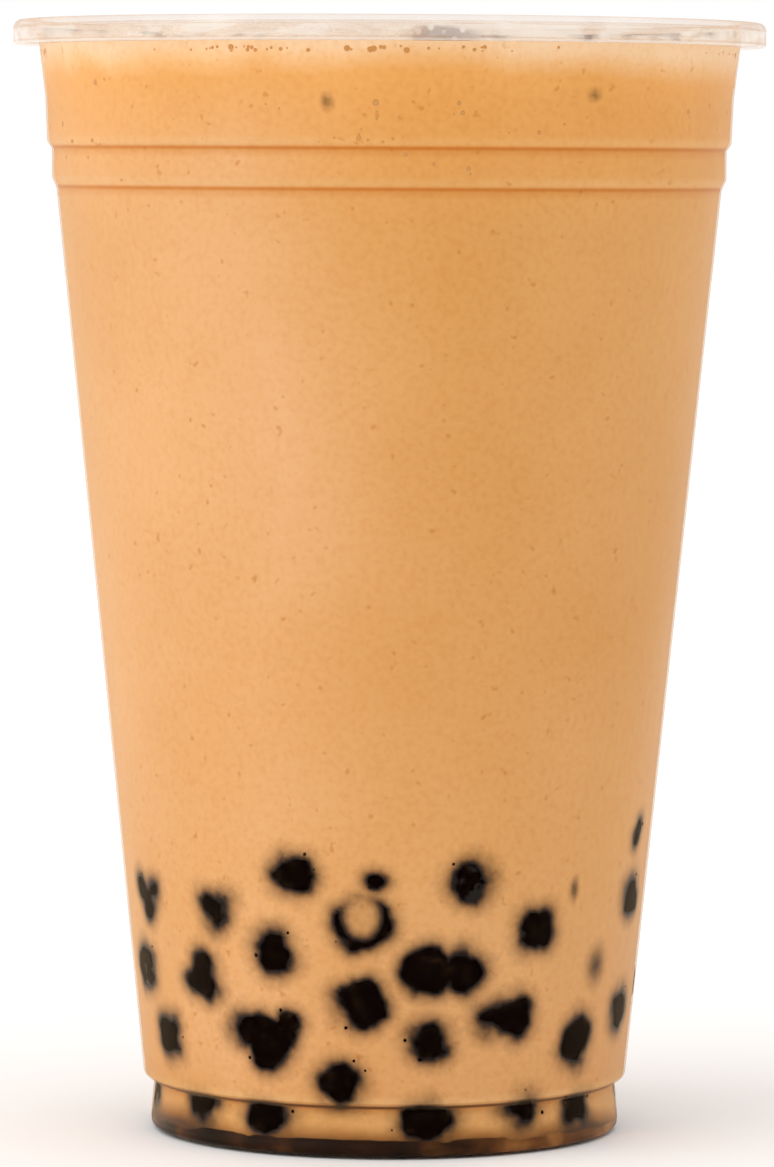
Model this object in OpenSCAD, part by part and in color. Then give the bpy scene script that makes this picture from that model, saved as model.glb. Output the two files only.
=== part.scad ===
/* [Cup] */
// Height of the cup from its foot to the top of the rim
cup_h = 140.4; // [120:0.2:170]
// Outer diameter of the rim
rim_d = 95; // [85:0.5:115]
// Outer diameter of the foot where it meets the table
foot_d = 59.7; // [48:0.1:72]
// Thickness of the moulded wall
wall_t = 0.7; // [0.5:0.05:1.2]

/* [Rim] */
// Reach of the flange beyond the outside of the wall
flange_w = 3; // [2.4:0.1:5]
// Height of the flange's turned-down edge
skirt_h = 3.1; // [2:0.1:5]
// Rounding of the flange's outer top corner
flange_round = 1; // [0.4:0.1:1.5]

/* [Stacking bands] */
// Distance from the top of the rim down to the upper step
collar_h = 15.2; // [12:0.2:24]
// Height of the flared lip below the rim
lip_h = 9.5; // [6:0.1:11]
// How far the lip flares outwards
lip_flare = 1.05; // [0.4:0.05:2]
// Draft of the collar between the lip and the upper step
collar_draft = 0.25; // [0.1:0.05:0.6]
// Height of the straight band between the two steps
band_h = 3.6; // [2.5:0.1:7]
// Drop of each step
step_h = 0.9; // [0.6:0.1:1.6]
// Width of each step
step_w = 0.6; // [0.4:0.05:1]

/* [Foot] */
// Height of the ledge above the table
ledge_z = 7; // [5:0.1:12]
// Overhang of the ledge beyond the foot's neck
ledge_w = 1.3; // [0.8:0.1:2.5]
// Rise of the ledge's underside from the neck to its edge
ledge_rise = 0.8; // [0.4:0.1:1.5]
// Flare of the foot from its neck down to the table
foot_flare = 0.5; // [0.2:0.05:1]
// Rounding of the foot's lower corner
foot_round = 1.5; // [0.5:0.1:2]
// Width of the ring that the cup stands on
stand_w = 3.4; // [2.6:0.1:6]
// Height of the hollow under the floor
hollow_h = 0.8; // [0.4:0.1:2]

/* [Contents] */
// Distance from the top of the rim down to the drink
headspace = 4.5; // [4.4:0.1:30]
// Depth of the syrup above the lowest inside point
syrup_h = 1.7; // [1.2:0.1:4]
// Diameter of a soaked pearl
pearl_d = 8.6; // [6:0.1:10]
// Height of the pearls at the wall, above the syrup
heap_h = 31; // [18:0.5:60]
// Space between the middles of neighbouring pearls, round the wall
pearl_gap = 14.2; // [11:0.2:20]
// How far a pearl is pressed flat by the wall
pearl_press = 0.35; // [0.2:0.05:0.8]
// Film of drink between a pearl and the wall
pearl_film = 0.15; // [0.1:0.05:0.5]

/* [Hidden] */

round_steps = 6;     // straight pieces in each rounded corner
edge_share = 0.45;   // most of an edge that a rounding may use
turn_fn = 96;        // fineness of the turned walls
around_steps = 72;   // facets round the pile of pearls
side_steps = 11;     // facets up its side
top_steps = 7;       // facets across its top
edge_round = 0.3;    // rounding of the small moulded edges
mouth_round = 0.8;   // rounding of the mouth's inner edge
gutter_in = 0.9;     // how far the inside's lowest corner stands in from the wall

// Radii and heights of the outside, from the foot up
foot_r = foot_d / 2;
neck_r = foot_r - foot_flare;
neck_z = ledge_z - ledge_rise;
ledge_r = neck_r + ledge_w;
rim_r = rim_d / 2;
lip_r = rim_r - flange_w;
collar_r = lip_r - lip_flare;
upper_step_r = collar_r - collar_draft;
band_r = upper_step_r - step_w;
body_r = band_r - step_w;
upper_step_z = cup_h - collar_h;
band_top_z = upper_step_z - step_h;
band_low_z = band_top_z - band_h;
body_z = band_low_z - step_h * 1.5;
lip_z = cup_h - lip_h;
flange_z = cup_h - wall_t;
skirt_z = cup_h - skirt_h;

// The cup stands on a ring, and its floor is raised inside the ring
ring_r = foot_r - foot_round - stand_w;
floor_z = hollow_h + wall_t;
gutter_z = wall_t;
syrup_z = gutter_z + syrup_h;
drink_z = cup_h - headspace;

// The wall from the foot's neck up to the lip, as [radius, height, outer rounding, inner rounding]
wall_line = [
    [neck_r, neck_z, 0.4, 0.5],
    [ledge_r, ledge_z, 0.9, 0.4],
    [body_r, body_z, 1.2, 0.8],
    [band_r, band_low_z, 0.3, 0.6],
    [band_r, band_top_z, 0.5, 0.3],
    [upper_step_r, upper_step_z, 0.3, 0.6],
    [collar_r, lip_z, 8, 8]
];

// Outlines of the cup as [radius, height, rounding], each from the axis or the foot to the rim
under_line = [
    [0, hollow_h, 0],
    [ring_r, hollow_h, edge_round],
    [ring_r + wall_t, 0, edge_round],
    [foot_r, 0, foot_round]
];
outer_line = [for (p = wall_line) [p[0], p[1], p[2]]];
rim_line = [
    [lip_r, flange_z, mouth_round],
    [rim_r - wall_t, flange_z, edge_round],
    [rim_r - wall_t, skirt_z, 0],
    [rim_r, skirt_z, 0],
    [rim_r, cup_h, flange_round],
    [lip_r - wall_t, cup_h, mouth_round]
];
floor_line = [
    [0, floor_z, 0],
    [ring_r - wall_t, floor_z, edge_round],
    [ring_r + wall_t / 2, gutter_z, edge_round]
];
inner_line = concat(
    floor_line,
    [[foot_r - wall_t - gutter_in, gutter_z, gutter_in]],
    [for (p = wall_line) [p[0] - wall_t, p[1], p[3]]],
    [[lip_r - wall_t, flange_z - mouth_round, 0]]
);

// The points of the corner b between its neighbours a and c, rounded to a radius of r,
// or to less where an edge is too short for it
function corner(a, b, c, r) =
    let (
        u = (a - b) / norm(a - b),
        w = (c - b) / norm(c - b),
        half = acos(u * w) / 2,
        reach = min(r / tan(half), edge_share * min(norm(a - b), norm(c - b))),
        fit_r = reach * tan(half),
        middle = b + (u + w) / norm(u + w) * fit_r / sin(half),
        from = b + u * reach - middle,
        to = b + w * reach - middle,
        start = atan2(from[1], from[0]),
        turn = (atan2(to[1], to[0]) - start + 540) % 360 - 180
    )
    r == 0 ? [b] : [
        for (i = [0 : round_steps])
            let (t = start + turn * i / round_steps)
            middle + fit_r * [cos(t), sin(t)]
    ];

// A closed outline of [radius, height, rounding] points with its corners rounded
function rounded(line) =
    let (n = len(line), flat = [for (p = line) [p[0], p[1]]])
    [
        for (i = [0 : n - 1])
            each corner(flat[(i + n - 1) % n], flat[i], flat[(i + 1) % n], line[i][2])
    ];

// Radius of the inside of the wall at a height
function inside_r(z) =
    lookup(z, [for (i = [len(floor_line) : len(inner_line) - 1]) [inner_line[i][1], inner_line[i][0]]]);

module turned(line) {
    rotate_extrude($fn = turn_fn) polygon(rounded(line));
}

// Everything inside the cup from one height to another
module inside(from_z, to_z) {
    intersection() {
        turned(concat(inner_line, [[0, flange_z - mouth_round, 0]]));
        translate([0, 0, from_z]) cylinder(h = to_z - from_z, r = rim_d);
    }
}

module cup() {
    color([0.93, 0.9, 0.85, 0.4])
        turned(concat(
            under_line,
            outer_line,
            rim_line,
            [for (i = [len(inner_line) - 1 : -1 : 0]) inner_line[i]]
        ));
}

// Rows of pearls at the wall, from the syrup up
rows = floor(heap_h / (pearl_d * 0.9));
row_h = (heap_h - pearl_d) / (rows - 1);
low_z = syrup_z + pearl_d * 0.42;
top_z = low_z + (rows - 1) * row_h;
each_row = floor(2 * PI * inside_r(low_z) / pearl_gap);
rings = floor(inside_r(top_z) / pearl_d) - 1;
ring_share = 5;          // pearls on top in the first ring, and more in each ring outside it
size_change = 0.07;      // change in a pearl's size, as a share of it
place_change = 0.13;     // change in its place, as a share of its diameter

// A wobble between -1 and 1, different for each pearl
function wobble(i, j) = sin(i * 137.5 + j * 222.5);

// Pearls as [x, y, z, radius], pressed against the wall
wall_pearls = [
    for (row = [0 : rows - 1], i = [0 : each_row - 1])
        let (
            r = pearl_d / 2 * (1 + size_change * wobble(i + 3, row)),
            z = low_z + row * row_h + pearl_d * place_change * wobble(i, row),
            turn = (i + (row % 2) / 2) * 360 / each_row + 3 * wobble(row, i),
            out = inside_r(z) - r + pearl_press
        )
        [out * cos(turn), out * sin(turn), z, r]
];

// Pearls as [x, y, z, radius], lying on top of the pile
top_pearls = [
    for (ring = [1 : rings], i = [0 : ring * ring_share - 1])
        let (
            turn = i * 360 / (ring * ring_share) + 12 * wobble(ring, i),
            out = pearl_d * (ring - 0.3 + place_change * wobble(i, ring)),
            z = top_z + pearl_d * place_change * wobble(i + 5, ring)
        )
        [out * cos(turn), out * sin(turn), z, pearl_d / 2]
];
pearls = concat(wall_pearls, top_pearls);

// The smooth pile under them, as [radius, height, tilt of its outward direction]
pile_in = pearl_d * 0.45;
pile_round = pearl_d * 0.5;
side_step = (top_z - pile_round - syrup_z) / side_steps;
pile_top_r = inside_r(top_z) - pile_in - pile_round;
pile_line = concat(
    [for (i = [0 : side_steps]) [inside_r(syrup_z + side_step * i) - pile_in, syrup_z + side_step * i, 0]],
    [
        for (i = [1 : round_steps / 2 - 1])
            let (tilt = 180 * i / round_steps)
            [pile_top_r + pile_round * cos(tilt), top_z - pile_round * (1 - sin(tilt)), tilt]
    ],
    [for (i = [0 : top_steps - 1]) [pile_top_r * (1 - i / top_steps), top_z, 90]]
);

// How far a pearl stands out of the pile at p, along the direction n
function stands_out(p, n, pearl) =
    let (
        to = [pearl[0], pearl[1], pearl[2]] - p,
        along = to * n,
        spare = pearl[3] * pearl[3] - to * to + along * along
    )
    spare > 0 ? along + sqrt(spare) : 0;

// A point on the pile's uneven outside. A facet spans one step, so it stays clear of the wall
// one step below, where the cup is narrower.
function pile_point(at, turn) =
    let (
        r = at[0],
        z = at[1],
        tilt = at[2],
        p = [r * cos(turn), r * sin(turn), z],
        n = [cos(tilt) * cos(turn), cos(tilt) * sin(turn), sin(tilt)],
        room = inside_r(z - side_step) - pearl_film - r
    )
    p + n * min(room / max(cos(tilt), 0.01), max([0, for (pearl = pearls) stands_out(p, n, pearl)]));

// The pile as one closed surface, from its flat foot up its side and over its top
module pile() {
    n = around_steps;
    last = len(pile_line) - 1;
    foot = n * (last + 1);
    crown = foot + 1;
    points = concat(
        [for (at = pile_line, i = [0 : n - 1]) pile_point(at, i * 360 / n)],
        [[0, 0, syrup_z], [0, 0, top_z + pile_round]]
    );
    faces = concat(
        [for (j = [0 : last - 1], i = [0 : n - 1]) [j * n + i, (j + 1) * n + i, (j + 1) * n + (i + 1) % n]],
        [for (j = [0 : last - 1], i = [0 : n - 1]) [j * n + i, (j + 1) * n + (i + 1) % n, j * n + (i + 1) % n]],
        [for (i = [0 : n - 1]) [foot, i, (i + 1) % n]],
        [for (i = [0 : n - 1]) [crown, last * n + (i + 1) % n, last * n + i]]
    );
    polyhedron(points, faces);
}

module milk_tea() {
    color([0.91, 0.7, 0.47])
        difference() {
            inside(syrup_z, drink_z);
            pile();
        }
}

module tapioca_pearls() {
    color([0.12, 0.07, 0.05]) pile();
}

module syrup() {
    color([0.2, 0.1, 0.05]) inside(0, syrup_z);
}

cup();
milk_tea();
tapioca_pearls();
syrup();
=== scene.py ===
import math
import random

import bpy
import numpy as np
from mathutils import Matrix, Vector, noise
from mathutils.bvhtree import BVHTree


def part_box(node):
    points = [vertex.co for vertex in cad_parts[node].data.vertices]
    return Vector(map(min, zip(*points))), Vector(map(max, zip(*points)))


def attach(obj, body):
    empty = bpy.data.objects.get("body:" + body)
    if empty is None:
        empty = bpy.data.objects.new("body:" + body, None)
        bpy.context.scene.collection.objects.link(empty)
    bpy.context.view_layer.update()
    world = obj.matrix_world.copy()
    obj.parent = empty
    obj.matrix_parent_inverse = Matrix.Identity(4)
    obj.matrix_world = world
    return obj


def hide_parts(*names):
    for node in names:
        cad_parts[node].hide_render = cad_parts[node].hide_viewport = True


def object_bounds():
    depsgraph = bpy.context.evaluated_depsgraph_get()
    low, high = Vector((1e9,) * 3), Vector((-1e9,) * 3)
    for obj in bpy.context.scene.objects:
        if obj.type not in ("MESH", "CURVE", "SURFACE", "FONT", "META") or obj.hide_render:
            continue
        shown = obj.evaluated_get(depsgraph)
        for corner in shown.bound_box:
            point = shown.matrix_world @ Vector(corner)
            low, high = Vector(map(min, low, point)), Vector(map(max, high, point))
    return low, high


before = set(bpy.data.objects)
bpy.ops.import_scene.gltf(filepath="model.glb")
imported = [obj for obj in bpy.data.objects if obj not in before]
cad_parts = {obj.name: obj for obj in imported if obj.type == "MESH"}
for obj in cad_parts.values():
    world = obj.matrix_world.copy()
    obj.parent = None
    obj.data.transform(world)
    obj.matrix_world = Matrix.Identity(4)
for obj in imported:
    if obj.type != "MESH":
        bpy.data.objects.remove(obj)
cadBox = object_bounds()
mm = 0.001


def toLinear(hexColour):
    # sRGB hex to linear light
    parts = [int(hexColour[i:i + 2], 16) / 255 for i in (1, 3, 5)]
    return [c / 12.92 if c <= 0.04045 else ((c + 0.055) / 1.055) ** 2.4 for c in parts] + [1]


def patternScale(size):
    # the scale of a noise whose patches are about that many mm across
    return 1 / (size * mm)


def addNode(tree, kind, settings=None, links=None):
    # one node with its settings, by input name or number or by property, and the sockets that feed it
    node = tree.nodes.new(kind)
    for key, value in (settings or {}).items():
        if isinstance(key, int) or key in node.inputs:
            node.inputs[key].default_value = value
        else:
            setattr(node, key, value)
    for key, source in (links or {}).items():
        tree.links.new(source, node.inputs[key])
    return node


def newMaterial(name):
    material = bpy.data.materials.new(name)
    material.use_nodes = True
    material.node_tree.nodes.clear()
    return material, material.node_tree


def setRamp(node, stops):
    # stops are (place, hex colour) or (place, grey)
    elements = node.color_ramp.elements
    while len(elements) < len(stops):
        elements.new(1)
    for element, (place, value) in zip(elements, stops):
        element.position = place
        element.color = toLinear(value) if isinstance(value, str) else [value, value, value, 1]
    return node.outputs["Color"]


def deselectAll():
    if bpy.context.object and bpy.context.object.mode != "OBJECT":
        bpy.ops.object.mode_set(mode="OBJECT")
    bpy.ops.object.select_all(action="DESELECT")


def placeInMesh(piece):
    # the place goes into the mesh, so that the object sits at the origin, unturned
    deselectAll()
    piece.select_set(True)
    bpy.context.view_layer.objects.active = piece
    bpy.ops.object.transform_apply(location=True, rotation=True, scale=True)


def joinPieces(made, name):
    deselectAll()
    for part in made:
        part.select_set(True)
    bpy.context.view_layer.objects.active = made[0]
    bpy.ops.object.join()
    piece = bpy.context.object
    piece.name = name
    bpy.ops.object.mode_set(mode="EDIT")
    bpy.ops.mesh.select_all(action="SELECT")
    bpy.ops.mesh.normals_make_consistent(inside=False)
    bpy.ops.object.mode_set(mode="OBJECT")
    bpy.ops.object.shade_smooth()
    return piece


def roundCorners(points, steps=6):
    # [radius, height, rounding] points in mm become [radius, height], with arcs at the rounded corners
    line = []
    for i, (r, z, rounding) in enumerate(points):
        corner = Vector((r, z))
        if not rounding or i in (0, len(points) - 1):
            line.append((r, z))
            continue
        back = Vector(points[i - 1][:2]) - corner
        ahead = Vector(points[i + 1][:2]) - corner
        half = back.angle(ahead) / 2
        # an arc takes at most 0.45 of the shorter side, so that two of them never meet
        reach = min(rounding / math.tan(half), 0.45 * min(back.length, ahead.length))
        fitR = reach * math.tan(half)
        back.normalize()
        ahead.normalize()
        middle = corner + (back + ahead).normalized() * fitR / math.sin(half)
        start = math.atan2(*reversed(corner + back * reach - middle))
        end = math.atan2(*reversed(corner + ahead * reach - middle))
        turn = (end - start + math.pi) % math.tau - math.pi
        for k in range(steps + 1):
            angle = start + turn * k / steps
            line.append((middle.x + fitR * math.cos(angle), middle.y + fitR * math.sin(angle)))
    return line


def turnedShell(name, line, sides, joined=False):
    # a ring of points is extruded and scaled from one point of the outline to the next;
    # a joined outline comes back to its own start, any other is closed by a face at each end
    deselectAll()
    r, z = line[0]
    bpy.ops.mesh.primitive_circle_add(
        vertices=sides, radius=r * mm, location=(0, 0, z * mm), fill_type="NOTHING"
    )
    piece = bpy.context.object
    piece.name = name
    placeInMesh(piece)
    bpy.ops.object.mode_set(mode="EDIT")
    bpy.ops.mesh.select_all(action="SELECT")
    for nextR, nextZ in line[1:] + line[:1] * joined:
        bpy.ops.mesh.extrude_region_move(TRANSFORM_OT_translate={"value": (0, 0, (nextZ - z) * mm)})
        bpy.ops.transform.resize(value=(nextR / r, nextR / r, 1), center_override=(0, 0, nextZ * mm))
        r, z = nextR, nextZ
    if not joined:
        bpy.ops.mesh.edge_face_add()
        bpy.ops.object.mode_set(mode="OBJECT")
        for vertex in piece.data.vertices:
            vertex.select = vertex.index < sides
        bpy.ops.object.mode_set(mode="EDIT")
        bpy.ops.mesh.edge_face_add()
    bpy.ops.mesh.select_all(action="SELECT")
    if joined:
        bpy.ops.mesh.remove_doubles(threshold=0.001 * mm)
    bpy.ops.mesh.normals_make_consistent(inside=False)
    bpy.ops.object.mode_set(mode="OBJECT")
    bpy.ops.object.shade_smooth_by_angle(angle=math.radians(40))
    return piece


def getPoints(piece):
    flat = np.zeros(len(piece.data.vertices) * 3)
    piece.data.vertices.foreach_get("co", flat)
    return flat.reshape(-1, 3) / mm


def setPoints(piece, points):
    piece.data.vertices.foreach_set("co", (points * mm).ravel())
    piece.data.update()


def setAttribute(piece, name, values):
    attribute = piece.data.attributes.new(name, "FLOAT", "POINT")
    attribute.data.foreach_set("value", values)


def facingWall(turn):
    # outward and sideways directions at a turn in degrees from the front
    a = math.radians(turn)
    return np.array((math.sin(a), -math.cos(a), 0)), np.array((math.cos(a), math.sin(a), 0))


def againstWall(unit, middle, turn, halfWide, halfDeep, halfTall):
    # the points of a ball of radius 1 become those of one of that size, facing the wall at that turn
    outward, sideways = facingWall(turn)
    return (
        middle + np.outer(unit[:, 0] * halfWide, sideways)
        + np.outer(unit[:, 1] * halfDeep, outward) + np.outer(unit[:, 2] * halfTall, (0, 0, 1))
    )


# camera, light and floor
view = {
    "distance": 0.83,   # metres
    "height": 0.123,    # metres
    "pitch": 3.7,       # degrees down
    "roll": 0.3,        # degrees
    "lens": 202,        # mm, on a sensor 36 mm wide
}
bpy.ops.object.camera_add(location=(0, -view["distance"], view["height"]))
camera = bpy.context.object
camera.data.lens = view["lens"]
camera.data.sensor_width = 36
camera.data.clip_end = 20
camera.rotation_euler = (
    Matrix.Rotation(math.radians(90 - view["pitch"]), 3, "X")
    @ Matrix.Rotation(math.radians(view["roll"]), 3, "Z")
).to_euler()
bpy.context.scene.camera = camera
bpy.context.scene.view_settings.view_transform = "Standard"

light = {
    # direction it comes from, strength, and how wide and soft it is in degrees
    "keyLeft": ((-0.80, -0.46, 0.42), 0.98, 62),
    "overhead": ((0.1, -0.1, 1.0), 0.45, 80),
}
surroundings = 0.84     # light from all round, against the white that the camera sees
for name, (place, strength, softness) in light.items():
    turn = Vector(place).to_track_quat("Z", "Y").to_euler()
    bpy.ops.object.light_add(type="SUN", location=place, rotation=turn)
    lamp = bpy.context.object
    lamp.name = name
    lamp.data.energy = strength
    lamp.data.angle = math.radians(softness)

world = bpy.data.worlds.new("paleStudio")
bpy.context.scene.world = world
world.use_nodes = True
tree = world.node_tree
backdrop = tree.nodes["Background"]
backdrop.inputs["Color"].default_value = (1, 1, 1, 1)
straight = addNode(tree, "ShaderNodeLightPath").outputs["Is Camera Ray"]
strength = addNode(
    tree, "ShaderNodeMapRange", {"To Min": surroundings, "To Max": 1.0}, {"Value": straight}
)
tree.links.new(strength.outputs[0], backdrop.inputs["Strength"])

deselectAll()
bpy.ops.mesh.primitive_plane_add(size=12, location=(0, 0, 0))
floor = bpy.context.object
floor.name = "floor"
paint, tree = newMaterial("whiteMattPaint")
shade = addNode(tree, "ShaderNodeBsdfDiffuse", {"Color": toLinear("#fdfcfb")})
addNode(tree, "ShaderNodeOutputMaterial", links={"Surface": shade.outputs[0]})
floor.data.materials.append(paint)
print("camera, light and floor made")


# the cup
rimR = cadBox[1][0] / mm
cupH = cadBox[1][2] / mm
cup = {
    "wall": 0.7,
    "sides": 256,
    "flange": 3.0,      # reach of the flange beyond the wall
    "skirt": 3.1,       # height of its turned-down edge
    "hollow": 0.8,      # height of the hollow under the floor
    "ring": 24.95,      # radius of the hollow
    "foot": 29.85,      # radius of the foot
    "footRound": 1.5,
    "footIn": 0.9,      # rounding inside the foot
    "clear": 0.2,       # what stays clear of the wall's thickness, outside the drink
    "rimMilk": 0.28,    # how milky the flange and skirt are
    "shine": 0.06,      # share of the shine where the wall is seen edge on
}
lipR = rimR - cup["flange"]
ledgeZ = 7.0
lowStepZ = cupH - 21.05
highStepZ = cupH - 16.1
wallPoints = [
    # radius, height, rounding outside, rounding inside
    (29.35, ledgeZ - 0.8, 0.4, 0.5),
    (30.65, ledgeZ, 0.9, 0.4),
    (42.0, lowStepZ, 1.2, 0.8),
    (42.6, lowStepZ + 1.35, 0.3, 0.6),
    (42.6, highStepZ, 0.5, 0.3),
    (43.2, highStepZ + 0.9, 0.3, 0.6),
    (43.45, cupH - 9.5, 8, 8),
]
innerPoints = [(cup["foot"] - cup["wall"] - cup["footIn"], cup["wall"], cup["footIn"])]
innerPoints += [(r - cup["wall"], z, inside) for r, z, outside, inside in wallPoints]
innerPoints += [(lipR - cup["wall"], cupH - 1.5, 0)]


def insideR(z):
    return np.interp(z, [p[1] for p in innerPoints], [p[0] for p in innerPoints])


def skinR(z):
    # the drink reaches into the wall, so that no gap of air shows
    line = [(cup["foot"], cup["footRound"])] + [p[:2] for p in wallPoints] + [(lipR, cupH - 1.5)]
    return np.interp(z, [p[1] for p in line], [p[0] for p in line]) - cup["clear"]


def makeCup():
    wall, ring = cup["wall"], cup["ring"]
    floorZ = cup["hollow"] + wall
    underSide = [
        (2, cup["hollow"], 0), (ring, cup["hollow"], 0.3),
        (ring + wall, 0, 0.3), (cup["foot"], 0, cup["footRound"]),
    ]
    outside = [(r, z, rounding) for r, z, rounding, inner in wallPoints]
    rim = [
        (lipR, cupH - wall, 0.8),
        (rimR - wall, cupH - wall, 0.3),
        (rimR - wall, cupH - cup["skirt"] + 0.05, 0.25),
        (rimR - 0.05, cupH - cup["skirt"], 0.3),
        (rimR, cupH, 1.0),
        (lipR - wall, cupH, 0.8),
    ]
    bottom = [(ring + wall / 2, wall, 0.3), (ring - wall, floorZ, 0.3), (2, floorZ, 0)]
    line = roundCorners(underSide + outside + rim + innerPoints[::-1] + bottom)
    return turnedShell("cupWall", line, cup["sides"])


def mouldedPolypropylene():
    # injection-moulded polypropylene: clear over the drink, cloudier at the thick rim,
    # with a soft shine that only grows at the edges
    material, tree = newMaterial("mouldedPolypropylene")
    place = addNode(tree, "ShaderNodeTexCoord").outputs["Object"]
    flow = addNode(
        tree, "ShaderNodeTexNoise", {"Scale": patternScale(11.1), "Detail": 3}, {"Vector": place}
    ).outputs["Fac"]
    relief = addNode(
        tree, "ShaderNodeBump", {"Strength": 0.15, "Distance": 0.2 * mm}, {"Height": flow}
    ).outputs[0]
    facing = addNode(tree, "ShaderNodeLayerWeight", {"Blend": 0.5}).outputs["Facing"]
    climb = addNode(tree, "ShaderNodeMath", {"operation": "POWER", 1: 4.0}, {0: facing}).outputs[0]
    across = addNode(
        tree, "ShaderNodeVectorMath", {"operation": "MULTIPLY", 1: (1, 1, 0)}, {0: place}
    ).outputs[0]
    radius = addNode(tree, "ShaderNodeVectorMath", {"operation": "LENGTH"}, {0: across}).outputs["Value"]
    rimMilk = addNode(
        tree, "ShaderNodeMapRange",
        {"From Min": (lipR + 0.3) * mm, "From Max": (lipR + 1.1) * mm, "To Max": cup["rimMilk"]},
        {"Value": radius},
    ).outputs[0]
    edgeMilk = setRamp(
        addNode(tree, "ShaderNodeValToRGB", links={0: facing}),
        [(0.2, 0.0), (0.5, 0.035), (0.62, 0.075), (0.8, 0.15), (0.93, 0.28), (1.0, 0.7)],
    )
    milkShare = addNode(tree, "ShaderNodeMath", {"operation": "ADD"}, {0: edgeMilk, 1: rimMilk}).outputs[0]
    # froth behind the skirt shows in it as long pale patches; the white line at its edge is a painted
    # highlight of the rolled edge, with a darker line just above it
    height = addNode(tree, "ShaderNodeSeparateXYZ", links={0: place}).outputs["Z"]
    rise = addNode(
        tree, "ShaderNodeMapRange",
        {"From Min": (cupH - cup["skirt"]) * mm, "From Max": cupH * mm}, {"Value": height},
    ).outputs[0]
    long = addNode(tree, "ShaderNodeMapping", {"Scale": (1, 1, 2.6)}, {"Vector": place}).outputs[0]
    cloud = addNode(
        tree, "ShaderNodeTexNoise",
        {"Scale": patternScale(8.7), "Detail": 5, "Roughness": 0.6, "Distortion": 1.0}, {"Vector": long},
    ).outputs["Fac"]
    bandAndEdgeHighlight = setRamp(addNode(tree, "ShaderNodeValToRGB", links={0: rise}), [
        (0.0, 1.0), (0.07, 1.0), (0.11, 0.25), (0.2, 0.5), (0.62, 0.5), (0.66, 0.28), (0.72, 0.34),
        (1.0, 0.26),
    ])
    both = addNode(tree, "ShaderNodeMath", {"operation": "ADD"}, {0: cloud, 1: bandAndEdgeHighlight}).outputs[0]
    creamAndEdgeHighlight = setRamp(
        addNode(tree, "ShaderNodeValToRGB", links={0: both}),
        [(0.72, "#e4cfc0"), (0.9, "#f0e0d4"), (1.0, "#f8eee6"), (1.0, "#ffffff")],
    )
    onSkirt = addNode(
        tree, "ShaderNodeMapRange", {"From Min": 0.0, "From Max": 0.1}, {"Value": rimMilk}
    ).outputs[0]
    tint = addNode(
        tree, "ShaderNodeMix", {"data_type": "RGBA", 6: toLinear("#ecc795")}, {0: onSkirt, 7: creamAndEdgeHighlight}
    ).outputs[2]
    clear = addNode(tree, "ShaderNodeBsdfTransparent", {"Color": toLinear("#fefdfb")})
    milk = addNode(tree, "ShaderNodeBsdfDiffuse", links={"Color": tint, "Normal": relief})
    through = addNode(tree, "ShaderNodeBsdfTranslucent", links={"Color": tint})
    haze = addNode(tree, "ShaderNodeMixShader", {0: 0.5}, {1: milk.outputs[0], 2: through.outputs[0]})
    body = addNode(tree, "ShaderNodeMixShader", links={0: milkShare, 1: clear.outputs[0], 2: haze.outputs[0]})
    shine = addNode(tree, "ShaderNodeBsdfGlossy", {"Roughness": 0.16}, {"Normal": relief})
    shineShare = addNode(
        tree, "ShaderNodeMath", {"operation": "MULTIPLY_ADD", 1: cup["shine"], 2: 0.002}, {0: climb}
    ).outputs[0]
    whole = addNode(
        tree, "ShaderNodeMixShader", links={0: shineShare, 1: body.outputs[0], 2: shine.outputs[0]}
    )
    addNode(tree, "ShaderNodeOutputMaterial", links={"Surface": whole.outputs[0]})
    return material


cupWall = makeCup()
cupWall.data.materials.append(mouldedPolypropylene())
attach(cupWall, "root")
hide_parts("cup")
print("cup made:", len(cupWall.data.polygons), "faces")


# the pearls
pearls = {
    "size": 4.2,        # half the width of a soaked pearl
    "lump": 0.17,       # how uneven it is, as a share of its size
    "trim": 0.88,       # share of its given width and height that is laid bare at the wall
    "chip": 3,          # one laid bare no wider than this is a chip and not a whole pearl
    "press": 0.13,      # how far a firmly pressed one bulges out of the drink's skin
    "proud": 0.13,      # how far a pearl may stand out of the drink's skin
    "film": 0.1,        # unevenness of the film of drink between a pearl and the wall
    "hollowEdge": 0.35, # how soft the edge of a hollow is
    "lowest": 0.95,     # height of the floor that the lowest ones lie on
    "shift": 28.7,      # where in the noise the lumps are taken
    "seed": 7,
}
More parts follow.
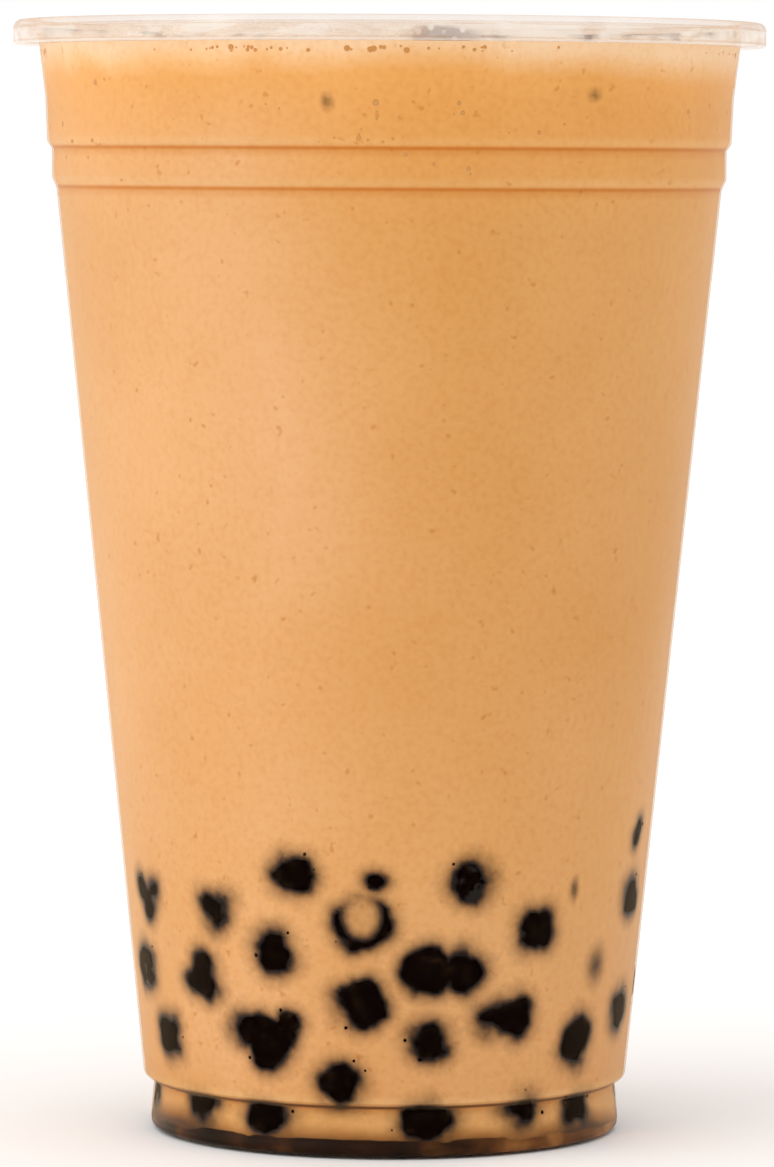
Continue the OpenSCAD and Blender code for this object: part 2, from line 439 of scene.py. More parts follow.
# laid out in rows: turn from the front in degrees, height, width and height of the patch
# at the wall, and how firmly it is pressed there: 1 whole, 0 broken up, below 0 only a shadow.
# Some are given corners, the way one of them aims, how sharp they are, and a hollow with drink in it
shownPearls = [
    # the highest, with a sliver far round to the right
    (-20, 36, 4.5, 4.5, 0.7, {}),
    (18, 35, 4.5, 4.5, 0.2, {}),
    (70, 39, 3.0, 2.5, 0.3, {"corners": 2, "aim": 60, "sharp": 0.3}),
    # second row, with the hollow one near the middle and a chip above it
    (-65, 31, 4.0, 5.0, 0.5, {"corners": 3, "aim": -90, "sharp": 0.2}),
    (-40, 31, 4.0, 4.0, 0.7, {"corners": 3, "aim": -90, "sharp": 0.08}),
    (-5, 30, 6.5, 7.5, 0.8, {"hollow": 1.3, "up": 0.16}),
    (-2, 35, 2.2, 1.5, 0.8, {}),
    (35, 29, 5.0, 4.5, 0.9, {"corners": 4, "aim": 45, "sharp": 0.08}),
    (45, 33, 0.5, 2.0, -0.3, {}),
    (70, 31, 5.0, 5.0, 0.6, {}),
    # third row, with two that touch
    (-70, 22, 6.0, 6.0, 0.4, {}),
    (-45, 22, 4.5, 5.0, 0.8, {"corners": 3, "aim": 90, "sharp": 0.12}),
    (-25, 26, 4.5, 4.5, 0.9, {}),
    (9, 24, 5.0, 6.0, 0.8, {}),
    (17, 24, 4.5, 5.0, 0.7, {}),
    (55, 23, 3.0, 4.0, -0.3, {}),
    # fourth row, with one that has a tail
    (-5, 20, 6.5, 6.5, 0.9, {}),
    (30, 18, 5.0, 5.0, 0.8, {"corners": 3, "aim": 60, "sharp": 0.08}),
    (25, 18, 3.5, 1.0, 0.8, {}),
    (70, 17, 4.5, 5.5, 0.6, {}),
    # fifth row, with three that have stuck together
    (-60, 14, 5.5, 5.0, 0.8, {}),
    (-33, 16, 3.5, 4.0, 0.6, {}),
    (-22, 17, 3.0, 2.5, 0.8, {}),
    (-27, 15, 7.5, 6.0, 0.35, {"corners": 3, "aim": -90, "sharp": 0.12}),
    (10, 15, 4.0, 4.0, 1.0, {}),
    (50, 14, 5.0, 6.5, 0.9, {"corners": 2, "aim": 90, "sharp": 0.12}),
    (-10, 10, 4.5, 5.0, 0.7, {}),
    # those in the foot
    (-80, 5, 4.5, 3.5, 0.3, {}),
    (-50, 5, 5.0, 4.0, 0.9, {}),
    (-30, 5, 5.5, 4.5, 0.9, {}),
    (10, 5, 7.0, 5.0, 1.0, {}),
    (35, 6, 7.0, 3.0, 0.9, {}),
    (55, 5, 5.0, 4.0, 0.9, {"corners": 4, "aim": 45, "sharp": 0.08}),
    # two faint spots of something afloat, high up and a little way into the drink
    (-10, 130, 0.5, 1.0, -0.45, {}),
    (35, 131, 1.0, 0.5, -0.5, {}),
]
hiddenPearls = []
chance = random.Random(pearls["seed"])
for row, height in enumerate((4.6, 12.5, 20.5, 28.0, 35.5)):
    for i in range(10):
        turn = 92 + (i + (row % 2) / 2) * 18 + chance.uniform(-4, 4)
        if turn < 268 and (row < 4 or chance.random() < 0.4):
            hiddenPearls.append((
                turn, height + chance.uniform(-1.8, 1.8) * (row > 0), chance.uniform(3.6, 7.0),
                chance.uniform(3.6, 6.2), chance.choice((0.9, 0.9, 0.7, 0.5, 0.2, -0.2)),
                {"corners": chance.choice((2, 3, 3, 4)), "aim": chance.uniform(0, 360), "sharp": 0.06},
            ))


def makePearl(index, pearl, fineness):
    turn, height, wide, tall, firm, form = pearl
    wide, tall = wide * pearls["trim"], tall * pearls["trim"]
    outward, sideways = facingWall(turn)
    deep = pearls["size"] * min(1, 0.25 + wide / 5)
    # a whole pearl reaches well past its patch at the wall, and a chip hardly does
    margin, least = (0.9, 0.95 * deep) if wide > pearls["chip"] else (0.5, 0)
    halfWide = max(wide / 2 + margin, least)
    halfTall = max(tall / 2 + margin, least)
    share = min(0.9, (wide / 2 / halfWide + tall / 2 / halfTall) / 2)
    press = deep * (1 - math.sqrt(1 - share ** 2))
    middle = outward * (skinR(height) - deep + press)
    middle[2] = height
    deselectAll()
    bpy.ops.mesh.primitive_ico_sphere_add(subdivisions=fineness, radius=1, location=(0, 0, 0))
    ball = bpy.context.object
    unit = getPoints(ball) * mm
    # cooked pearls are lumpy, and some are squeezed to a few blunt corners
    shift = Vector((index * 7.3, index * 3.1, pearls["shift"] + fineness))
    lumps = np.array([
        noise.noise(Vector(p) * 1.3 + shift) + 0.42 * noise.noise(Vector(p) * 3.2 + shift)
        + 0.2 * noise.noise(Vector(p) * 8 + shift) for p in unit
    ])
    bend = np.arctan2(unit[:, 2], unit[:, 0]) - math.radians(form.get("aim", 0))
    corner = form.get("sharp", 0) * np.cos(form.get("corners", 3) * bend) * np.hypot(unit[:, 0], unit[:, 2])
    unit = unit * (1 + pearls["lump"] * lumps + corner)[:, None]
    points = againstWall(unit, middle, turn, halfWide, deep, halfTall)
    # the wall presses the outer side flat, a little uneven where a film of drink is left
    grain = np.array([
        noise.noise(Vector(p) * 0.5 + shift) + 0.6 * noise.noise(Vector(p) * 1.3 + shift)
        + 0.4 * noise.noise(Vector(p) * 3.2 + shift) for p in points
    ])
    away = points - middle
    across, above = away @ sideways / (wide / 2), away[:, 2] / (tall / 2) - form.get("up", 0)
    hollow = form.get("hollow", 0) * np.exp(-(across ** 2 + above ** 2) ** 3 / pearls["hollowEdge"])
    flat = skinR(points[:, 2]) + pearls["press"] * firm + pearls["film"] * grain - hollow
    radius = np.hypot(points[:, 0], points[:, 1])
    keep = np.minimum(1, np.minimum(flat, skinR(points[:, 2]) + pearls["proud"]) / radius)
    points[:, :2] *= keep[:, None]
    points[:, 2] = np.maximum(points[:, 2], pearls["lowest"])
    setPoints(ball, points)
    return ball


def soakedTapioca():
    # cooked tapioca starch in brown sugar: near black, with browner thin spots
    material, tree = newMaterial("soakedTapioca")
    place = addNode(tree, "ShaderNodeTexCoord").outputs["Object"]
    spots = addNode(
        tree, "ShaderNodeTexNoise",
        {"Scale": patternScale(1.54), "Detail": 4, "Roughness": 0.65}, {"Vector": place},
    )
    colour = setRamp(
        addNode(tree, "ShaderNodeValToRGB", links={0: spots.outputs["Fac"]}),
        [(0.48, "#070201"), (0.6, "#120904"), (0.7, "#2e1d13"), (0.8, "#6b4e39")],
    )
    shade = addNode(
        tree, "ShaderNodeBsdfPrincipled",
        {"Roughness": 0.4, "Specular IOR Level": 0.0}, {"Base Color": colour},
    )
    addNode(tree, "ShaderNodeOutputMaterial", links={"Surface": shade.outputs[0]})
    return material


def makePearls(layout, fineness, name):
    made = [makePearl(i, pearl, fineness) for i, pearl in enumerate(layout) if pearl[4] > 0]
    return joinPieces(made, name)


tapioca = soakedTapioca()
shown = makePearls(shownPearls, 5, "pearlsFront")
hidden = makePearls(hiddenPearls, 4, "pearlsBack")
for piece in (shown, hidden):
    piece.data.materials.append(tapioca)
    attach(piece, "root")
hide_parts("tapioca_pearls")
print("pearls and shadows laid out:", len(shownPearls) + len(hiddenPearls))


# crumbs of pearl that float at the wall
crumbs = {
    "count": 70,
    "smallest": 0.10,   # half the width
    "largest": 0.26,
    "thick": 0.1,       # half the depth
    "away": 1.0,        # how far at most from the edge of a pearl
    "lowest": 2.5,
    "seed": 21,
}


def makeCrumbs():
    chance = random.Random(crumbs["seed"])
    made = []
    for index in range(crumbs["count"]):
        near = chance.choice([p for p in shownPearls + hiddenPearls if p[4] > 0])
        turn, height, wide, tall = near[:4]
        way = chance.uniform(0, math.tau)
        height += (tall / 2 + chance.uniform(0.1, crumbs["away"])) * math.sin(way)
        aside = (wide / 2 + chance.uniform(0.1, crumbs["away"])) * math.cos(way)
        turn += math.degrees(aside / insideR(height))
        size = chance.uniform(crumbs["smallest"], crumbs["largest"])
        deselectAll()
        bpy.ops.mesh.primitive_ico_sphere_add(subdivisions=2, radius=1)
        crumb = bpy.context.object
        unit = getPoints(crumb) * mm
        lumps = [noise.noise(Vector(p) * 1.8 + Vector((index, 0, 0))) for p in unit]
        unit *= (1 + 0.5 * np.array(lumps))[:, None]
        middle = facingWall(turn)[0] * skinR(height)
        middle[2] = max(height, crumbs["lowest"])
        setPoints(crumb, againstWall(unit, middle, turn, size, crumbs["thick"], size))
        made.append(crumb)
    return joinPieces(made, "pearlCrumbs")


pearlCrumbs = makeCrumbs()
pearlCrumbs.data.materials.append(tapioca)
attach(pearlCrumbs, "root")
print("crumbs made:", crumbs["count"])


# the milk tea
tea = {
    "level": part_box("milk_tea")[1][2] / mm,
    "low": 1.6,
    "sides": 420,
    "fineTop": 44,      # the skin is fine below this height, where pearls show through
    "fineStep": 0.5,
    "step": 3.0,
    "bands": 20,        # depth of the part with the stacking steps, just under the level
    "bandStep": 0.6,
    "fade": 0.8,        # depth of drink that hides a pearl
    "look": 2.5,        # how deep a pearl can lie and still darken the skin
    "blur": 0.5,        # how much wider the shadow of a sunken pearl is
    "climb": 1.4,       # how far froth carries it up the wall
    "collar": 0.7,      # thickness of what has climbed
    "curve": 2.4,       # distance from the wall at which the climb starts
    "flatR": 39,        # radius of the flat part of the surface
    "dip": 0.2,         # how far the surface lies below the level at the wall
}


def makeTea():
    level = tea["level"]
    heights = list(np.arange(tea["low"], tea["fineTop"], tea["fineStep"]))
    heights += list(np.arange(tea["fineTop"], level - tea["bands"], tea["step"]))
    heights += list(np.arange(level - tea["bands"], level - tea["bandStep"] / 2, tea["bandStep"]))
    side = [(float(skinR(z)), float(z)) for z in heights]
    collar = level + tea["climb"]
    edge = [(float(skinR(z)), float(z)) for z in np.arange(level, collar + 0.01, tea["climb"] / 3)]
    edge += [
        (float(insideR(collar)) - tea["collar"], collar - 0.1),
        (float(insideR(level)) - tea["curve"], level),
    ]
    top = [(r, level - tea["dip"]) for r in np.arange(tea["flatR"], 1, -1.0)]
    under = [(2, tea["low"]), (side[0][0] - 1.5, tea["low"])]
    return turnedShell("teaBody", under + side + edge + top, tea["sides"])


def pearlShade(points):
    # how dark the skin of the drink is over what lies just behind it
    solid = [getPoints(piece) for piece in (shown, hidden)]
    faces = [tuple(face.vertices) for face in shown.data.polygons]
    faces += [tuple(v + len(solid[0]) for v in face.vertices) for face in hidden.data.polygons]
    tree = BVHTree.FromPolygons(np.concatenate(solid).tolist(), faces)
    dark = np.zeros(len(points))
    for i, point in enumerate(points):
        if point[2] < tea["fineTop"]:
            nearest, normal, face, away = tree.find_nearest(Vector(point), tea["look"])
            if nearest is not None:
                sunk = (Vector(point) - nearest).dot(normal) < 0
                dark[i] = 1 if sunk else math.exp(-away / tea["fade"])
    # pearls that float deeper show only as soft patches
    for turn, height, wide, tall, firm, form in shownPearls + hiddenPearls:
        if firm < 0:
            outward, sideways = facingWall(turn)
            away = points - outward * skinR(height) - (0, 0, height)
            across = away @ sideways / (wide / 2 + tea["blur"])
            above = away[:, 2] / (tall / 2 + tea["blur"])
            nearSide = away @ outward > -8      # it doesn't fall on the far wall
            soft = (1 + firm) * np.exp(-across ** 2 - above ** 2) * nearSide
            dark = np.maximum(dark, soft)
    return dark


def milkTea():
    # strong black tea with milk: opaque and warm, with slight swirls, fine bubbles and tea dust
    material, tree = newMaterial("milkTea")
    place = addNode(tree, "ShaderNodeTexCoord").outputs["Object"]
    spot = addNode(tree, "ShaderNodeSeparateXYZ", links={0: place})
    swirl = addNode(
        tree, "ShaderNodeTexNoise",
        {"Scale": patternScale(22.2), "Detail": 2, "Distortion": 0.8}, {"Vector": place},
    ).outputs["Fac"]
    level = addNode(
        tree, "ShaderNodeMath", {"operation": "MULTIPLY_ADD", 1: 0.005}, {0: swirl, 2: spot.outputs["Z"]}
    ).outputs[0]
    share = addNode(
        tree, "ShaderNodeMapRange", {"From Min": 2.5 * mm, "From Max": 142.5 * mm}, {"Value": level}
    ).outputs[0]
    # browner with syrup in the foot, deepest just under the surface and pale at the very top
    tone = setRamp(addNode(tree, "ShaderNodeValToRGB", links={0: share}), [
        (0.012, "#52300f"), (0.02, "#a8733c"), (0.03, "#dba668"), (0.046, "#dba569"), (0.06, "#dba36a"),
        (0.2, "#e0ab74"), (0.27, "#e1aa6f"), (0.5, "#e0a86b"), (0.82, "#e0a766"), (0.92, "#eaaa61"),
        (0.95, "#f1b167"), (0.963, "#f9c892"), (0.975, "#fedcb9"),
    ])
    # painted light: the tea is paler on the left of the front, where the light from the left falls, with an
    # uneven edge
    wander = addNode(
        tree, "ShaderNodeTexNoise", {"Scale": patternScale(62.5), "Detail": 2}, {"Vector": place}
    ).outputs["Fac"]
    border = addNode(
        tree, "ShaderNodeMath", {"operation": "MULTIPLY_ADD", 1: 0.03}, {0: wander, 2: spot.outputs["X"]}
    ).outputs[0]
    leftShare = addNode(
        tree, "ShaderNodeMapRange", {"From Min": -27 * mm, "From Max": 21 * mm}, {"Value": border}
    ).outputs[0]
    leftLight = setRamp(
        addNode(tree, "ShaderNodeValToRGB", links={0: leftShare}),
        [(0.0, 0.4), (0.25, 0.6), (0.5, 1.0), (0.8, 0.15), (1.0, 0.0)],
    )
    body = setRamp(
        addNode(tree, "ShaderNodeValToRGB", links={0: share}),
        [(0.05, 0.0), (0.07, 0.5), (0.3, 1.0), (0.88, 1.0), (0.95, 0.2), (0.965, 0.0)],
    )
    paintedLeftLight = addNode(tree, "ShaderNodeMath", {"operation": "MULTIPLY"}, {0: leftLight, 1: body}).outputs[0]
    tone = addNode(
        tree, "ShaderNodeMix", {"data_type": "RGBA", 7: toLinear("#e9b584")}, {0: paintedLeftLight, 6: tone}
    ).outputs[2]
    # painted shade: a dark line at the corners of the steps and the ledge, where shade falls, with a painted
    # highlight as a pale band above it
    corners = (
        # lowest and highest place looked at, the corners there, and the colour of the painted shade
        (lowStepZ - 2, highStepZ + 4, (lowStepZ + 0.1, highStepZ + 0.1), "#e8c692"),
        (ledgeZ - 2, ledgeZ + 3, (ledgeZ - 0.5,), "#76543a"),
    )
    for low, high, lines, deep in corners:
        near = addNode(
            tree, "ShaderNodeMapRange", {"From Min": low * mm, "From Max": high * mm},
            {"Value": spot.outputs["Z"]},
        ).outputs[0]
        shadow, shine = [(low, "#ffffff")], [(low, 0.0)]
        for z in lines:
            shadow += [(z - 1.2, "#ffffff"), (z - 0.3, "#f6ead6"), (z - 0.06, deep), (z + 0.12, deep)]
            shadow += [(z + 0.35, "#ffffff")]
            shine += [(z + 0.3, 0.0), (z + 0.6, 0.9), (z + 1.0, 0.7), (z + 1.6, 0.0)]
        dark, bright = [
            setRamp(
                addNode(tree, "ShaderNodeValToRGB", links={0: near}),
                [((z - low) / (high - low), value) for z, value in stops],
            ) for stops in (shadow, shine)
        ]
        tone = addNode(
            tree, "ShaderNodeMix", {"data_type": "RGBA", "blend_type": "MULTIPLY", 0: 1.0}, {6: tone, 7: dark}
        ).outputs[2]
        tone = addNode(
            tree, "ShaderNodeMix", {"data_type": "RGBA", "blend_type": "SCREEN", 7: toLinear("#6a5742")},
            {0: bright, 6: tone},
        ).outputs[2]
    # slow swirls, fine grain and tea dust, each as size in mm, detail and what it takes from the
    # colour; real dust is finer, and is drawn as coarse as it needs to show
    shades = (
        (45.5, 4, [(0.36, "#f6efdc"), (0.5, "#faf7f0"), (0.64, "#ffffff")]),
        (0.833, 3, [(0.32, "#faf3e8"), (0.5, "#fdfbf6"), (0.7, "#ffffff")]),
        (1.25, 1, [(0.70, "#ffffff"), (0.78, "#efe2cc")]),
    )
    for size, detail, stops in shades:
        pattern = addNode(
            tree, "ShaderNodeTexNoise", {"Scale": patternScale(size), "Detail": detail}, {"Vector": place}
        ).outputs["Fac"]
        taken = setRamp(addNode(tree, "ShaderNodeValToRGB", links={0: pattern}), stops)
        tone = addNode(
            tree, "ShaderNodeMix",
            {"data_type": "RGBA", "blend_type": "MULTIPLY", 0: 1.0}, {6: tone, 7: taken},
        ).outputs[2]
    # pearls show through the skin of the drink, black where they touch it and fading as they sink
    behind = addNode(tree, "ShaderNodeAttribute", {"attribute_name": "pearlShade"}).outputs["Fac"]
    ragged = addNode(
        tree, "ShaderNodeTexNoise",
        {"Scale": patternScale(0.909), "Detail": 3, "Roughness": 0.7}, {"Vector": place},
    ).outputs["Fac"]
    torn = addNode(
        tree, "ShaderNodeMath", {"operation": "MULTIPLY_ADD", 1: 0.26}, {0: ragged, 2: behind}
    ).outputs[0]
    halo = setRamp(addNode(tree, "ShaderNodeValToRGB", links={0: torn}), [
        (0.2, "#ffffff"), (0.4, "#dedcd8"), (0.6, "#b0adab"), (0.82, "#65605e"), (1.0, "#0c0503"),
    ])
    tone = addNode(
        tree, "ShaderNodeMix", {"data_type": "RGBA", "blend_type": "MULTIPLY", 0: 1.0}, {6: tone, 7: halo}
    ).outputs[2]
    shade = addNode(
        tree, "ShaderNodeBsdfPrincipled", {
            "Roughness": 0.5, "Specular IOR Level": 0.15, "Sheen Weight": 0.12, "Sheen Roughness": 0.45,
            "Sheen Tint": toLinear("#ffe6cc"),
        }, {"Base Color": tone},
    )
    addNode(tree, "ShaderNodeOutputMaterial", links={"Surface": shade.outputs[0]})
    return material


teaBody = makeTea()
setAttribute(teaBody, "pearlShade", pearlShade(getPoints(teaBody)))
teaBody.data.materials.append(milkTea())
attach(teaBody, "root")
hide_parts("milk_tea")
print("milk tea made:", len(teaBody.data.polygons), "faces")


# the syrup
syrup = {
    "low": 0.4,
    "top": 2.5,         # highest place that it reaches at the wall
    "sag": 1.4,         # how much lower it is where it is lowest
    "lean": -15,        # turn at which it is highest, in degrees
    "floor": 0.9,       # height of the cup's floor under it
    "pool": 1.7,        # height of the pool away from the wall
    "channel": 25.7,    # inner radius of the channel in the standing ring
}


def makeSyrup():
    r = float(skinR(1.5)) + 0.02
    low, top, pool, channel = syrup["low"], syrup["top"], syrup["pool"], syrup["channel"]
    corner = roundCorners([(channel, low, 0), (r, low, 1.1), (r, pool + 0.1, 0)], 8)[1:]
    rise = [(float(skinR(z)) + 0.02, z) for z in np.arange(pool + 0.2, top + 0.01, 0.2)]
    under = [(2, syrup["floor"]), (channel - 0.2, syrup["floor"]), (channel, low)]
    upper = [(r - 0.8, top), (24, pool), (2, pool)]
    piece = turnedShell("syrupPool", under + corner + rise + upper, cup["sides"])
    points = getPoints(piece)
    # it climbs the wall unevenly, most at one side
    turn = np.degrees(np.arctan2(points[:, 0], -points[:, 1])) - syrup["lean"]
    ripple = np.array([
        noise.noise(Vector(p) * 0.22) + 0.5 * noise.noise(Vector(p) * 0.7) for p in points * (1, 1, 0)
    ])
    drop = syrup["sag"] * (0.5 - 0.5 * np.cos(np.radians(turn))) - 0.5 * ripple
    above = np.clip((points[:, 2] - pool) / (top - pool), 0, 1)
    points[:, 2] -= above * np.clip(drop, 0, top - pool - 0.1)
    setPoints(piece, points)
    return piece


def brownSugarSyrup():
    # boiled brown sugar: thick and nearly black, reddish brown where it is thin
    material, tree = newMaterial("brownSugarSyrup")
    place = addNode(tree, "ShaderNodeTexCoord").outputs["Object"]
    streak = addNode(
        tree, "ShaderNodeTexNoise", {"Scale": patternScale(6.25), "Detail": 3}, {"Vector": place}
    ).outputs["Fac"]
    across = addNode(tree, "ShaderNodeSeparateXYZ", links={0: place}).outputs["X"]
    # it is thinnest at the right of the front
    thin = addNode(
        tree, "ShaderNodeMapRange",
        {"From Min": 2 * mm, "From Max": 28 * mm, "To Max": 0.36}, {"Value": across},
    ).outputs[0]
    paler = addNode(tree, "ShaderNodeMath", {"operation": "ADD"}, {0: streak, 1: thin}).outputs[0]
    colour = setRamp(
        addNode(tree, "ShaderNodeValToRGB", links={0: paler}),
        [(0.35, "#150a04"), (0.55, "#2c180a"), (0.75, "#6b4120"), (0.9, "#a06c38")],
    )
    shade = addNode(
        tree, "ShaderNodeBsdfPrincipled",
        {"Roughness": 0.3, "Specular IOR Level": 0.06}, {"Base Color": colour},
    )
    addNode(tree, "ShaderNodeOutputMaterial", links={"Surface": shade.outputs[0]})
    return material


syrupPool = makeSyrup()
syrupPool.data.materials.append(brownSugarSyrup())
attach(syrupPool, "root")
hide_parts("syrup")
print("syrup made")


# froth that clings to the wall above the drink
froth = {
    "low": tea["level"] + 0.8,
    "top": cupH - 0.9,
    "thick": 0.25,
    "rings": 12,        # points up each side
    "gap": 0.02,        # clearance from the wall
    "patchTurn": 9,     # where a darker brown patch lies in it, in degrees from the front
    "patchHeight": cupH - 2.2,
    "patchReach": 8,    # half its length, before its edge is torn
}


def makeFroth():
    heights = np.linspace(froth["low"], froth["top"], froth["rings"])
    outer = [(float(insideR(z)) - froth["gap"], float(z)) for z in heights]
    inner = [(r - froth["thick"], z) for r, z in outer[::-1]]
    return turnedShell("frothRing", outer + inner, cup["sides"], joined=True)


def milkFroth():
    # froth of milk and tea: creamy white in torn patches, warmer and whole at the drink's edge
    material, tree = newMaterial("milkFroth")
    place = addNode(tree, "ShaderNodeTexCoord").outputs["Object"]
    height = addNode(tree, "ShaderNodeSeparateXYZ", links={0: place}).outputs["Z"]
    rise = addNode(
        tree, "ShaderNodeMapRange",
        {"From Min": froth["low"] * mm, "From Max": froth["top"] * mm}, {"Value": height},
    ).outputs[0]
    flat = addNode(tree, "ShaderNodeMapping", {"Scale": (1, 1, 2.2)}, {"Vector": place}).outputs[0]
    patches = addNode(
        tree, "ShaderNodeTexNoise",
        {"Scale": patternScale(9.09), "Detail": 4, "Roughness": 0.6, "Distortion": 0.8}, {"Vector": flat},
    ).outputs["Fac"]
    lifted = addNode(
        tree, "ShaderNodeMath", {"operation": "MULTIPLY_ADD", 1: -0.4}, {0: rise, 2: patches}
    ).outputs[0]
    cover = setRamp(
        addNode(tree, "ShaderNodeValToRGB", links={0: lifted}), [(0.14, 0.0), (0.26, 0.5), (0.34, 1.0)]
    )
    colour = setRamp(addNode(tree, "ShaderNodeValToRGB", links={0: rise}), [
        (0.0, "#fbdcb6"), (0.15, "#fdeedd"), (0.3, "#fffaf4"), (1.0, "#ffffff"),
    ])
    # a darker brown shows in it as one long patch with a torn edge
    outward = facingWall(froth["patchTurn"])[0] * insideR(froth["patchHeight"])
    middle = (outward[0] * mm, outward[1] * mm, froth["patchHeight"] * mm)
    away = addNode(tree, "ShaderNodeVectorMath", {"operation": "SUBTRACT", 1: middle}, {0: place}).outputs[0]
    away = addNode(
        tree, "ShaderNodeVectorMath", {"operation": "MULTIPLY", 1: (1, 1, 4)}, {0: away}
    ).outputs[0]
    away = addNode(tree, "ShaderNodeVectorMath", {"operation": "LENGTH"}, {0: away}).outputs["Value"]
    torn = addNode(
        tree, "ShaderNodeMath", {"operation": "MULTIPLY_ADD", 1: 6 * mm}, {0: patches, 2: away}
    ).outputs[0]
    reach = froth["patchReach"] * mm
    patch = addNode(
        tree, "ShaderNodeMapRange",
        {"From Min": 0.6 * reach, "From Max": reach, "To Min": 0.9, "To Max": 0.0}, {"Value": torn},
    ).outputs[0]
    colour = addNode(
        tree, "ShaderNodeMix", {"data_type": "RGBA", 7: toLinear("#7d5226")}, {0: patch, 6: colour}
    ).outputs[2]
    # white beads of froth, about 1.4 mm apart, lie over it; their white is partly a painted highlight of
    # small bubbles
    cells = addNode(
        tree, "ShaderNodeTexVoronoi", {"Scale": patternScale(1.43)}, {"Vector": place}
    ).outputs["Distance"]
    beads = addNode(
        tree, "ShaderNodeMapRange",
        {"From Min": 0.24, "From Max": 0.34, "To Min": 1.0, "To Max": 0.0}, {"Value": cells},
    ).outputs[0]
    colour = addNode(
        tree, "ShaderNodeMix", {"data_type": "RGBA", 7: toLinear("#ffffff")}, {0: beads, 6: colour}
    ).outputs[2]
    cover = addNode(tree, "ShaderNodeMath", {"operation": "MAXIMUM"}, {0: cover, 1: patch}).outputs[0]
    milk = addNode(tree, "ShaderNodeBsdfDiffuse", links={"Color": colour})
    through = addNode(tree, "ShaderNodeBsdfTranslucent", links={"Color": colour})
    foam = addNode(tree, "ShaderNodeMixShader", {0: 0.45}, {1: milk.outputs[0], 2: through.outputs[0]})
    clear = addNode(tree, "ShaderNodeBsdfTransparent", {"Color": toLinear("#fdf8f3")})
    whole = addNode(tree, "ShaderNodeMixShader", links={0: cover, 1: clear.outputs[0], 2: foam.outputs[0]})
    addNode(tree, "ShaderNodeOutputMaterial", links={"Surface": whole.outputs[0]})
    return material


frothRing = makeFroth()
frothRing.data.materials.append(milkFroth())
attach(frothRing, "root")
print("froth made")


# air bubbles trapped at the wall, in loose groups, and in a line of beads along the surface
bubbles = {
    "seed": 5,
    "thick": 0.06,      # half the depth of one at the wall
    "groups": (
        # turn of the middle in degrees, its height, how many, their spread in mm and the largest size
        (0, 129, 5, 1.2, 1.0),
        (-5, 126, 9, 2.0, 0.8),
        (-20, 129, 2, 1.5, 0.7),
        (12, 129, 3, 1.0, 0.7),
        (20, 127, 3, 4.0, 0.7),
        (10, 121, 4, 4.0, 0.8),
    ),
    "scattered": 46,    # at the sides and back
    "beads": 90,        # along the surface
    "beadTurns": (-30, -22, 0, 15, 75, 120, 170, 230, 275),
    "floating": 240,
    "floatingSizes": (0.3, 0.4, 0.5, 0.7, 1.0, 1.5),
    "dome": 0.8,        # height of a floating one against its radius
}


def flatBubble(turn, height, size):
    # a lens pressed against the wall, with how far each point is from its rim kept for the colour
    deselectAll()
    bpy.ops.mesh.primitive_ico_sphere_add(subdivisions=3 if size > 0.6 else 2, radius=1)
    lens = bpy.context.object
    unit = getPoints(lens) * mm
    setAttribute(lens, "fromRim", 1 - np.hypot(unit[:, 0], unit[:, 2]))
    middle = facingWall(turn)[0] * (skinR(height) + 0.01)
    middle[2] = height
    setPoints(lens, againstWall(unit, middle, turn, size / 2, bubbles["thick"], size / 2))
    return lens


def makeWallBubbles():
    chance = random.Random(bubbles["seed"])
    made = []
    for turn, height, count, spread, largest in bubbles["groups"]:
        for i in range(count):
            aside = math.degrees(chance.gauss(0, spread) / skinR(height))
            size = largest * chance.choice((0.4, 0.45, 0.55, 1))
            made.append(flatBubble(turn + aside, height + chance.gauss(0, spread / 2), size))
    for i in range(bubbles["scattered"]):
        size = chance.choice((0.35, 0.4, 0.5, 0.8))
        made.append(flatBubble(chance.uniform(50, 310), chance.uniform(118, 133), size))
    for i in range(bubbles["beads"]):
        turn = chance.choice(bubbles["beadTurns"]) + chance.gauss(0, 6)
        size = chance.choice((0.25, 0.3, 0.4, 0.5, 0.8))
        made.append(flatBubble(turn, tea["level"] + chance.uniform(0.2, 0.8), size))
    return joinPieces(made, "wallBubbles")


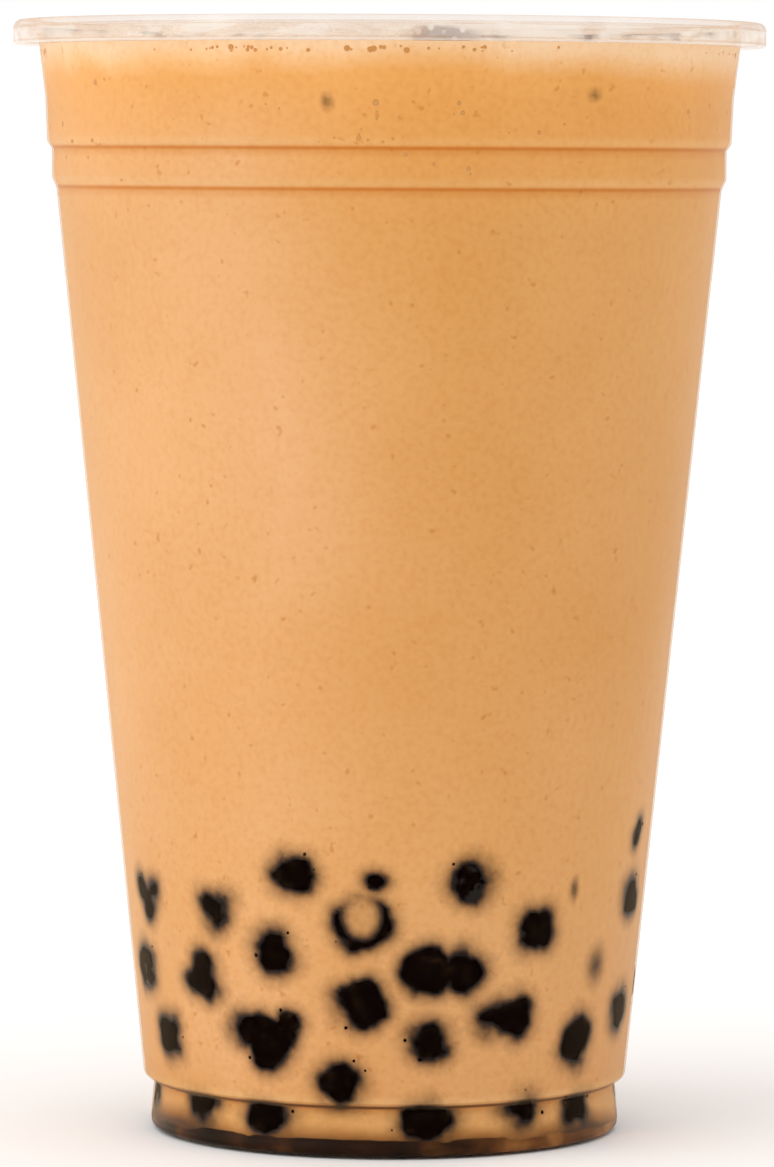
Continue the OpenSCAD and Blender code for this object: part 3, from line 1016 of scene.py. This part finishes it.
def airInTea():
    # air against the wall, darker in the middle and inside a pale ring
    material, tree = newMaterial("airInTea")
    inner = addNode(tree, "ShaderNodeAttribute", {"attribute_name": "fromRim"}).outputs["Fac"]
    colour = setRamp(addNode(tree, "ShaderNodeValToRGB", links={0: inner}), [
        (0.0, "#f0bd80"), (0.1, "#e3a55c"), (0.22, "#c4843c"), (0.6, "#cd9048"),
    ])
    shade = addNode(tree, "ShaderNodeBsdfPrincipled", {"Roughness": 0.4}, {"Base Color": colour})
    addNode(tree, "ShaderNodeOutputMaterial", links={"Surface": shade.outputs[0]})
    return material


wallBubbles = makeWallBubbles()
wallBubbles.data.materials.append(airInTea())
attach(wallBubbles, "root")


def makeFloatingBubbles():
    # domes of froth on the surface, two in three gathered at the wall
    chance = random.Random(bubbles["seed"] + 1)
    made = []
    reach = float(insideR(tea["level"])) - 0.7
    for i in range(bubbles["floating"]):
        size = chance.choice(bubbles["floatingSizes"]) * chance.uniform(0.8, 1.2)
        way = math.radians(chance.uniform(0, 360))
        far = reach - size - abs(chance.gauss(0, 1.5 if i % 3 else 12))
        deselectAll()
        bpy.ops.mesh.primitive_uv_sphere_add(segments=16, ring_count=10, radius=size * mm)
        dome = bpy.context.object
        points = getPoints(dome) * (1, 1, bubbles["dome"])
        setPoints(dome, points + (far * math.cos(way), far * math.sin(way), tea["level"] - tea["dip"]))
        made.append(dome)
    return joinPieces(made, "floatingBubbles")


def bubbleFilm():
    # thin film of milky tea: nearly clear on top, milkier where it is seen edge on
    material, tree = newMaterial("bubbleFilm")
    facing = addNode(tree, "ShaderNodeLayerWeight", {"Blend": 0.5}).outputs["Facing"]
    cover = setRamp(
        addNode(tree, "ShaderNodeValToRGB", links={0: facing}), [(0.1, 0.05), (0.6, 0.18), (0.9, 0.6)]
    )
    clear = addNode(tree, "ShaderNodeBsdfTransparent", {"Color": toLinear("#fffdfa")})
    film = addNode(
        tree, "ShaderNodeBsdfPrincipled", {"Base Color": toLinear("#fff3e2"), "Roughness": 0.15}
    )
    whole = addNode(tree, "ShaderNodeMixShader", links={0: cover, 1: clear.outputs[0], 2: film.outputs[0]})
    addNode(tree, "ShaderNodeOutputMaterial", links={"Surface": whole.outputs[0]})
    return material


floatingBubbles = makeFloatingBubbles()
floatingBubbles.data.materials.append(bubbleFilm())
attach(floatingBubbles, "root")
print("bubbles made")
